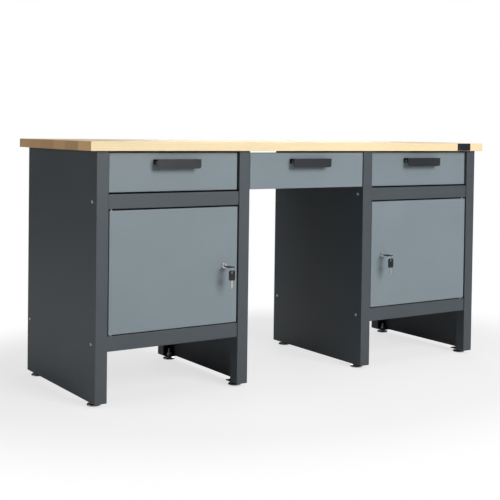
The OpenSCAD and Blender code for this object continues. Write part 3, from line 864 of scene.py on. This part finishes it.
class BENCH_OT_cabinets(bpy.types.Operator):
    """Folded side panels, backs, floors, shelves and front rails"""

    bl_idname = "bench.cabinets"
    bl_label = "Cabinets"

    def execute(self, context):
        sizes = context.scene.bench_sizes
        paint = paints(context)["frame"]
        kinds = [f"{s}_{place}_side" for s in SIDES for place in ("outer", "inner")]
        kinds += [f"{s}_{part}" for s in SIDES
                  for part in ("back", "floor", "shelf", "upper_rail", "lower_rail")]
        for node in kinds:
            made = to_object(folded(node, sizes.bend_radius, sizes.bend_steps), node + "_sheet")
            stand_in(made, paint, "bench", "frame_paint", node)
        return {"FINISHED"}


class BENCH_OT_drawers(bpy.types.Operator):
    """Drawer boxes, folded fronts and handles"""

    bl_idname = "bench.drawers"
    bl_label = "Drawers"

    def execute(self, context):
        sizes = context.scene.bench_sizes
        paint = paints(context)
        for name in DRAWERS:
            body = name + "_drawer"
            box = to_object(folded(body + "_box", sizes.bend_radius, sizes.bend_steps),
                            body + "_pan")
            stand_in(box, paint["frame"], body, "frame_paint", body + "_box")
            front = to_object(folded(body + "_front", sizes.front_radius, sizes.bend_steps),
                              body + "_face")
            stand_in(front, paint["front"], body, "front_paint", body + "_front")
            handle = to_object(eased(name + "_handle", 0.45 * MM, 2, 0.9), name + "_grip")
            stand_in(handle, paint["handle"], body, "handle_paint", name + "_handle")
        return {"FINISHED"}


class BENCH_OT_slides(bpy.types.Operator):
    """Rolled slides on the cabinets and runners on the drawers"""

    bl_idname = "bench.slides"
    bl_label = "Slides"

    def execute(self, context):
        rolled = paints(context)["rolled"]
        made = to_object(eased("slide_rails", 0.4 * MM), "rolled_rails")
        stand_in(made, rolled, "bench", "zinc", "slide_rails")
        for name in DRAWERS:
            made = to_object(eased(name + "_drawer_runners", 0.4 * MM), name + "_rolled_runners")
            stand_in(made, rolled, name + "_drawer", "zinc", name + "_drawer_runners")
        return {"FINISHED"}


class BENCH_OT_doors(bpy.types.Operator):
    """Folded doors and the pins they swing on"""

    bl_idname = "bench.doors"
    bl_label = "Doors"

    def execute(self, context):
        sizes = context.scene.bench_sizes
        paint = paints(context)
        for side in SIDES:
            made = to_object(folded(side + "_door", sizes.front_radius, sizes.bend_steps),
                             side + "_door_leaf")
            stand_in(made, paint["front"], side + "_door", "front_paint", side + "_door")
        pins = to_object(eased("hinge_pins", sizes.broken_edge), "turned_hinge_pins")
        stand_in(pins, paint["zinc"], "bench", "zinc", "hinge_pins")
        return {"FINISHED"}


class BENCH_OT_locks(bpy.types.Operator):
    """Cam locks: rosette and barrel, plug with a keyway, and cam"""

    bl_idname = "bench.locks"
    bl_label = "Locks"

    def execute(self, context):
        sizes = context.scene.bench_sizes
        paint = paints(context)
        for side in SIDES:
            for part, body, metal in (("body", "door", "nickel"), ("plug", "lock", "nickel"),
                                      ("cam", "lock", "zinc")):
                node = f"{side}_lock_{part}"
                made = to_object(eased(node, sizes.broken_edge), node + "_metal")
                stand_in(made, paint[metal], f"{side}_{body}", "key_steel", node)
        return {"FINISHED"}


class BENCH_OT_keys(bpy.types.Operator):
    """Keys with moulded bows, key rings and spare keys"""

    bl_idname = "bench.keys"
    bl_label = "Keys"

    def key(self, node, body, root, down, across, length, paint):
        """One key from the outer end of its bow: bow and cut blade."""
        low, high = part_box(node)
        wide = high.x - low.x
        thick = min(high.y - low.y, high.z - low.z)
        turn = Matrix((across, down, Vector(across).cross(Vector(down)))).transposed().to_4x4()
        seat = Matrix.Translation(root) @ turn
        bow = plate(node + "_bow", [
            outline([(-wide / 2, 0, 5 * MM), (wide / 2, 0, 5 * MM), (wide / 2, 34 * MM, 5 * MM),
                     (-wide / 2, 34 * MM, 5 * MM)]),
            box_corners(-3 * MM, 2.2 * MM, 3 * MM, 10.6 * MM, 2 * MM)],
            thick, 0.5 * MM, seat)
        made = to_object(bow, node + "_bow")
        stand_in(made, paint["bow"], body, "key_bow", node)
        blade_end = length
        cuts = [(4 * MM, 34 * MM - 1 * MM, 0), (4 * MM, 38 * MM, 0)]
        edge = 3.7 * MM
        notch = [(edge, 38 * MM, 0)]
        y = 41 * MM
        depths = (1.2, 0.5, 1.6, 0.9, 1.4, 0.4, 1.1)
        for depth in depths:
            if y + 3.4 * MM > blade_end - 3 * MM:
                break
            notch += [(edge, y, 0), (edge - depth * MM, y + 1.0 * MM, 0),
                      (edge - depth * MM, y + 2.0 * MM, 0), (edge, y + 3.0 * MM, 0)]
            y += 3.4 * MM
        notch += [(edge, blade_end - 2.6 * MM, 0), (0.8 * MM, blade_end, 0),
                  (-0.8 * MM, blade_end, 0), (-edge, blade_end - 2.6 * MM, 0)]
        shape = cuts + notch + [(-edge, 38 * MM, 0), (-4 * MM, 38 * MM, 0),
                                (-4 * MM, 33 * MM, 0)]
        blade = plate(node + "_blade", [outline(shape)], 1.9 * MM, 0.15 * MM, seat)
        made = to_object(blade, node + "_blade")
        stand_in(made, paint["nickel"], body, "key_bow", node)

    def ring(self, side, paint):
        """A split ring: two flat turns of wire side by side."""
        node = side + "_key_ring"
        low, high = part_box(node)
        middle = (low + high) / 2
        wire = (high.x - low.x) / 2
        reach = (high.z - low.z) / 2 - wire * 0.55
        bm = bmesh.new()
        steps, around, turns = 192, 10, 1.93
        rings = []
        for k in range(steps + 1):
            t = k / steps
            a = 2 * math.pi * turns * t + 0.9
            swing = (t - 0.5) * 2
            shift = wire * 0.5 * math.tanh(swing * 5)
            centre = Vector((middle.x + shift, middle.y + reach * math.cos(a),
                             middle.z + reach * math.sin(a)))
            out = Vector((0, math.cos(a), math.sin(a)))
            ring = []
            for i in range(around):
                b = 2 * math.pi * i / around
                ring.append(bm.verts.new(centre + out * math.sin(b) * wire * 0.5
                                         + Vector((1, 0, 0)) * math.cos(b) * wire * 0.48))
            rings.append(ring)
        for first, second in zip(rings, rings[1:]):
            for i in range(around):
                n = (i + 1) % around
                bm.faces.new((first[i], first[n], second[n], second[i]))
        bm.faces.new(rings[0])
        bm.faces.new(rings[-1])
        made = to_object(bm, side + "_split_ring")
        stand_in(made, paint["nickel"], side + "_keys", "key_steel", node)

    def execute(self, context):
        paint = paints(context)
        for side in SIDES:
            low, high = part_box(side + "_key")
            root = Vector(((low.x + high.x) / 2, low.y, (low.z + high.z) / 2))
            self.key(side + "_key", side + "_lock", root, (0, 1, 0), (1, 0, 0),
                     high.y - low.y, paint)
            low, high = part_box(side + "_spare_key")
            root = Vector(((low.x + high.x) / 2, (low.y + high.y) / 2, high.z))
            self.key(side + "_spare_key", side + "_keys", root, (0, 0, -1), (1, 0, 0),
                     high.z - low.z, paint)
            self.ring(side, paint)
        return {"FINISHED"}


class BENCH_OT_screws(bpy.types.Operator):
    """Pan screws with cross recesses, set where the frame has its screws"""

    bl_idname = "bench.screws"
    bl_label = "Screws"

    def pan_head(self, radius, length, recess):
        """One screw with its head's top at the origin and its axis along Z."""
        head = 3 * MM
        shank = radius * 0.42
        profile = [(0, -length), (shank * 0.6, -length), (shank, -length + shank * 0.5)]
        z = -length + shank
        while z < -head - 0.6 * MM:
            profile += [(shank, z), (shank * 0.86, z + 0.35 * MM), (shank, z + 0.7 * MM)]
            z += 0.7 * MM
        profile += [(shank, -head), (radius * 0.96, -head), (radius, -head + 0.25 * MM),
                    (radius, -head * 0.72)]
        for k in range(1, 6):
            a = math.radians(90) * k / 6
            profile.append((radius * (0.62 + 0.38 * math.cos(a)), -head * 0.72 * (1 - math.sin(a))))
        profile += [(radius * 0.62, 0), (0, 0)]
        clean = [p for k, p in enumerate(profile) if k == 0 or p != profile[k - 1]]
        bm = turned(clean, 28)
        bmesh.ops.recalc_face_normals(bm, faces=bm.faces)
        mesh = bpy.data.meshes.new("pan_screw")
        bm.to_mesh(mesh)
        bm.free()
        screw = add_object("pan_screw", mesh)
        cutter = bmesh.new()
        for turn in (0, 90):
            blade = Matrix.Rotation(math.radians(turn), 4, "Z") @ Matrix.Diagonal(
                (radius * 1.05, radius * 0.2, recess * 2, 1))
            bmesh.ops.create_cube(cutter, size=1, matrix=blade)
        cut_mesh = bpy.data.meshes.new("cross")
        cutter.to_mesh(cut_mesh)
        cutter.free()
        cross = add_object("cross", cut_mesh)
        cut = screw.modifiers.new("cut", "BOOLEAN")
        cut.object = cross
        cut.operation = "DIFFERENCE"
        cut.solver = "EXACT"
        cut.use_self = True
        plain_mesh(screw)
        bpy.data.objects.remove(cross)
        return screw

    def execute(self, context):
        sizes = context.scene.bench_sizes
        zinc = paints(context)["zinc"]
        rows = [("panel_screws", "bench"), ("worktop_screws", "bench")]
        rows += [(name + "_handle_screws", name + "_drawer") for name in DRAWERS]
        for number, (node, body) in enumerate(rows):
            groups = {}
            for top, direction, radius, length in screw_seats(node):
                groups.setdefault((round(radius, 4), round(length, 4)), []).append((top, direction))
            bm = bmesh.new()
            for (radius, length), seats in sorted(groups.items()):
                shape = self.pan_head(radius, length, min(sizes.recess_depth, 0.0016))
                drawn = set_on("row", shape, seats, math.pi, sizes.seed + number, zinc)
                bm.from_mesh(drawn.data)
                bpy.data.objects.remove(drawn)
            made = to_object(bm, node + "_row")
            stand_in(made, zinc, body, "zinc", node)
        return {"FINISHED"}


class BENCH_OT_feet(bpy.types.Operator):
    """Levelling feet with threaded stems, their nuts and the shelf clips"""

    bl_idname = "bench.feet"
    bl_label = "Feet"

    def foot(self, number, sizes, paint):
        node = f"foot_{number}"
        low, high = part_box(node)
        middle = (low + high) / 2
        outer = (high.x - low.x) / 2
        stem = 5 * MM
        top = high.z
        pad = [(0, 0), (outer - 1.6 * MM, 0), (outer - 0.6 * MM, 0.4 * MM),
               (outer, 1.2 * MM), (outer, 3.4 * MM), (outer - 0.5 * MM, 4.3 * MM),
               (outer - 1.4 * MM, 4.9 * MM), (outer - 3.0 * MM, 5.3 * MM),
               (stem + 6.5 * MM, 6.2 * MM), (stem + 5.6 * MM, 6.2 * MM), (0, 6.2 * MM)]
        base = to_object(turned(pad, 48, Matrix.Translation((middle.x, middle.y, 0))),
                         node + "_pad", 33)
        stand_in(base, paint["nickel"], node, "zinc", node)
        profile = [(0, 5.8 * MM), (stem + 5.6 * MM, 5.8 * MM), (stem + 6.0 * MM, 6.1 * MM),
                   (stem + 6.0 * MM, 6.9 * MM), (stem + 4.4 * MM, 7.8 * MM),
                   (stem + 3.0 * MM, 10.9 * MM), (stem + 0.4 * MM, 11.2 * MM)]
        z = 11.4 * MM
        pitch = sizes.thread_pitch
        while z + pitch < top - 1.2 * MM:
            profile += [(stem - 0.75 * MM, z), (stem - 0.02 * MM, z + pitch * 0.5)]
            z += pitch
        profile += [(stem - 0.8 * MM, z), (stem - 0.8 * MM, top - 0.8 * MM),
                    (stem - 1.6 * MM, top), (0, top)]
        bm = turned(profile, 48, Matrix.Translation((middle.x, middle.y, 0)))
        made = to_object(bm, node + "_turned", 33)
        stand_in(made, paint["zinc"], node, "zinc", node)

    def execute(self, context):
        sizes = context.scene.bench_sizes
        paint = paints(context)
        for number in range(1, 9):
            self.foot(number, sizes, paint)
        nuts = to_object(eased("foot_nuts", 0.5 * MM), "hexagon_nuts")
        stand_in(nuts, paint["zinc"], "bench", "zinc", "foot_nuts")
        clips = to_object(eased("shelf_clips", sizes.broken_edge), "bent_shelf_clips")
        stand_in(clips, paint["zinc"], "bench", "zinc", "shelf_clips")
        return {"FINISHED"}


class BENCH_OT_stage(bpy.types.Operator):
    """Pale floor, soft light and the camera"""

    bl_idname = "bench.stage"
    bl_label = "Stage"

    def floor_finish(self, g, colour):
        """Pale floor that passes into the white surround away from the bench."""
        x, y, _ = g.split(g.place())
        far = g.maths("SQRT", (x / 1.5) ** 2 + (y / 1.1) ** 2)
        fade = g.ease(far, 0.70, 1.15, 0.7, 1.0)
        seen = g.node("ShaderNodeLightPath")
        diffuse = g.node("ShaderNodeBsdfDiffuse", None, {"Color": (*colour, 1.0)})
        white = g.node("ShaderNodeEmission", None, {"Color": (1, 1, 1, 1), "Strength": 1.0})
        mixed = g.node("ShaderNodeMixShader", None, {
            0: fade * Value(g, seen.outputs["Is Camera Ray"]), 1: diffuse.outputs[0],
            2: white.outputs[0]})
        g.node("ShaderNodeOutputMaterial", None, {"Surface": mixed.outputs[0]})

    def world(self, context, strength):
        """Even light from all round, and white to the camera."""
        made = bpy.data.worlds.new("surround")
        made.use_nodes = True
        g = Graph(made.node_tree)
        path = g.node("ShaderNodeLightPath")
        soft = g.node("ShaderNodeBackground", None,
                      {"Color": (1, 1, 1, 1), "Strength": strength})
        clear = g.node("ShaderNodeBackground", None, {"Color": (1, 1, 1, 1), "Strength": 1.0})
        mixed = g.node("ShaderNodeMixShader", None, {
            0: path.outputs["Is Camera Ray"], 1: soft.outputs[0], 2: clear.outputs[0]})
        g.node("ShaderNodeOutputWorld", None, {"Surface": mixed.outputs[0]})
        context.scene.world = made

    def light(self, name, place, target, size, power):
        data = bpy.data.lights.new(name, "AREA")
        data.shape = "SQUARE"
        data.size = size
        data.energy = power
        made = add_object(name, data)
        made.matrix_world = aim(Vector(place), Vector(place) - Vector(target))

    def execute(self, context):
        stage = context.scene.bench_stage
        colours = context.scene.bench_colours
        bm = bmesh.new()
        bmesh.ops.create_circle(bm, cap_ends=True, radius=14, segments=96)
        mesh = bpy.data.meshes.new("studio_floor")
        bm.to_mesh(mesh)
        bm.free()
        floor = add_object("studio_floor", mesh)
        floor.data.materials.append(finish(
            "pale_floor", lambda g: self.floor_finish(g, colours.floor)))
        self.world(context, stage.sky)
        self.light("key_light", (0.9, -5.2, 2.9), (0, 0, 0.45), 2.6, stage.key_power)
        self.light("top_light", (0.2, -0.5, 3.7), (0, 0, 0.8), 2.4, stage.top_power)
        self.light("back_light", (3.2, 4.6, 2.2), (0, 0, 0.5), 2.4, stage.back_power)
        self.light("side_light", (-4.4, 1.3, 1.9), (-0.8, 0, 0.5), 2.0, stage.side_power)
        camera = add_object("bench_camera", bpy.data.cameras.new("bench_camera"))
        camera.data.sensor_width = 36
        camera.data.lens = stage.lens
        camera.data.shift_y = stage.shift
        camera.data.clip_end = 100
        camera.matrix_world = (
            Matrix.Translation(stage.camera_place)
            @ Matrix.Rotation(-stage.camera_turn, 4, "Z")
            @ Matrix.Rotation(math.pi / 2 - stage.camera_dip, 4, "X")
            @ Matrix.Rotation(stage.camera_roll, 4, "Z"))
        context.scene.camera = camera
        context.scene.view_settings.view_transform = "Standard"
        return {"FINISHED"}


OPERATORS = (
    BENCH_OT_worktop, BENCH_OT_edge_plate, BENCH_OT_cabinets, BENCH_OT_drawers,
    BENCH_OT_slides, BENCH_OT_doors, BENCH_OT_locks, BENCH_OT_keys, BENCH_OT_screws,
    BENCH_OT_feet, BENCH_OT_stage,
)


class BENCH_PT_panel(bpy.types.Panel):
    """Lists the steps of the workbench and its sizes"""

    bl_idname = "BENCH_PT_panel"
    bl_label = "Workbench"
    bl_space_type = "VIEW_3D"
    bl_region_type = "UI"
    bl_category = "Workbench"

    def draw(self, context):
        for operator in OPERATORS:
            self.layout.operator(operator.bl_idname)
        for group in ("bench_sizes", "bench_colours", "bench_stage"):
            holder = getattr(context.scene, group)
            box = self.layout.box()
            for name in holder.bl_rna.properties.keys():
                if name not in ("rna_type", "name"):
                    box.prop(holder, name)


GROUPS = {"bench_sizes": BenchSizes, "bench_colours": BenchColours, "bench_stage": BenchStage}


def register():
    for kind in (*GROUPS.values(), *OPERATORS, BENCH_PT_panel):
        bpy.utils.register_class(kind)
    for name, kind in GROUPS.items():
        setattr(bpy.types.Scene, name, PointerProperty(type=kind))


def unregister():
    for name in GROUPS:
        delattr(bpy.types.Scene, name)
    for kind in reversed((*GROUPS.values(), *OPERATORS, BENCH_PT_panel)):
        bpy.utils.unregister_class(kind)


def main():
    register()
    bpy.ops.bench.worktop()
    bpy.ops.bench.edge_plate()
    bpy.ops.bench.cabinets()
    bpy.ops.bench.drawers()
    bpy.ops.bench.slides()
    bpy.ops.bench.doors()
    bpy.ops.bench.locks()
    bpy.ops.bench.keys()
    bpy.ops.bench.screws()
    bpy.ops.bench.feet()
    bpy.ops.bench.stage()


if __name__ == "__main__":
    main()
